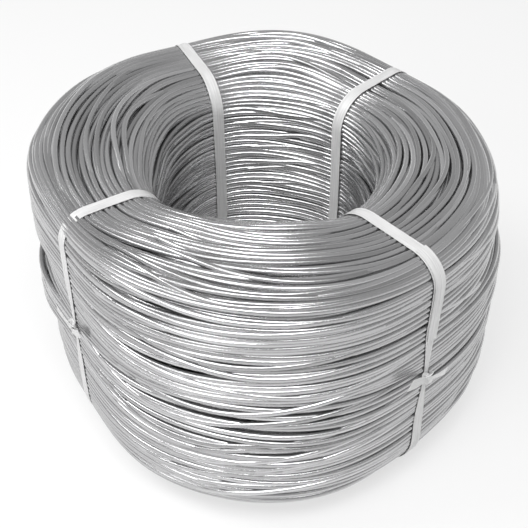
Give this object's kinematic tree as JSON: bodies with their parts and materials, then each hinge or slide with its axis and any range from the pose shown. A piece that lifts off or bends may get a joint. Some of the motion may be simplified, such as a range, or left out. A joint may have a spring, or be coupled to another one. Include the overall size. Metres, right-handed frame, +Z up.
{
  "type": "coil of electrical cable",
  "caption": "Free-standing round coil of glossy single-core cable with an open bore, pulled in by knotted flat plastic tapes.",
  "frame": {"origin": "on the coil's axis, in the plane the coil rests on", "axes": "+Z up along the bore's axis, -Y towards the viewer between the two front ties, +X to the viewer's right"},
  "size_m": [0.22, 0.22, 0.141],
  "materials": {
    "cable_sheath": "glossy clear sheath over bright tinned conductor, silver grey",
    "tie_tape": "thin milky white plastic tape, slightly see-through"
  },
  "bodies": {
    "root": {"cable_coil": "cable_sheath", "tie_back_right": "tie_tape", "tie_back_left": "tie_tape", "tie_front_left": "tie_tape", "tie_front_right": "tie_tape"}
  },
  "joints": []
}
